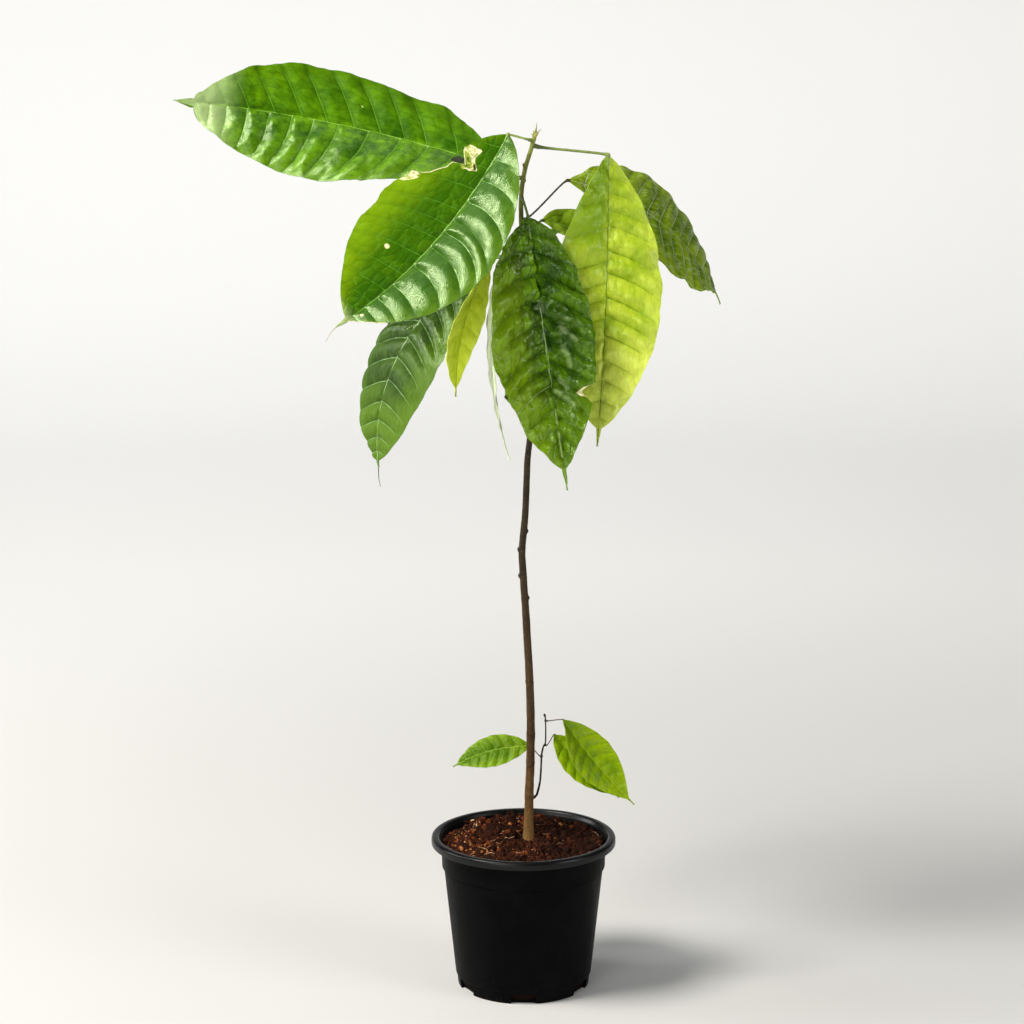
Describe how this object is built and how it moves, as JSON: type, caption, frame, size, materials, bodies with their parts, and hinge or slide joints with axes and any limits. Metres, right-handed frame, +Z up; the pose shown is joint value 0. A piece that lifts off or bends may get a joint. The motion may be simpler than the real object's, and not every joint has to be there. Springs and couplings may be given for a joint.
{
  "type": "potted cacao seedling",
  "caption": "Young cacao plant in a round moulded nursery pot: one slender stem, a crown of large hanging leaves on long stalks, and a small side shoot near the foot.",
  "frame": {"origin": "middle of the pot's flat underside", "axes": "+Z up along the pot's axis; +X to the right and +Y to the back as the plant is usually seen, with the long top leaf reaching towards -X"},
  "size_m": [0.4403, 0.2188, 0.743],
  "materials": {
    "pot_plastic": "moulded black plastic with a faint satin sheen",
    "potting_mix": "crumbly moist reddish brown coir and compost",
    "bark": "thin dull brown bark, greener towards the tip",
    "bud_green": "soft matt green",
    "leaf_fresh": "waxy fresh green, quilted between the veins",
    "leaf_dark": "glossy dark green, quilted between the veins",
    "leaf_grey_green": "glossy grey green with pale veins",
    "leaf_yellow_green": "satin yellow green with pale veins",
    "leaf_pale": "matt pale green"
  },
  "bodies": {
    "root": {"pot": "pot_plastic", "potting_mix": "potting_mix", "stem": "bark", "side_shoot": "bark", "bud": "bud_green", "leaf_top_left": "leaf_fresh", "leaf_front_left": "leaf_fresh", "leaf_lower_left": "leaf_grey_green", "leaf_yellow_left": "leaf_yellow_green", "leaf_edge_on": "leaf_pale", "leaf_front": "leaf_dark", "leaf_right": "leaf_yellow_green", "leaf_rear_right": "leaf_dark", "leaf_rear_small": "leaf_fresh", "leaf_rear": "leaf_dark", "leaf_rear_young": "leaf_pale", "side_leaf_left": "leaf_fresh", "side_leaf_lower": "leaf_fresh", "side_leaf_upper": "leaf_fresh"}
  },
  "joints": []
}
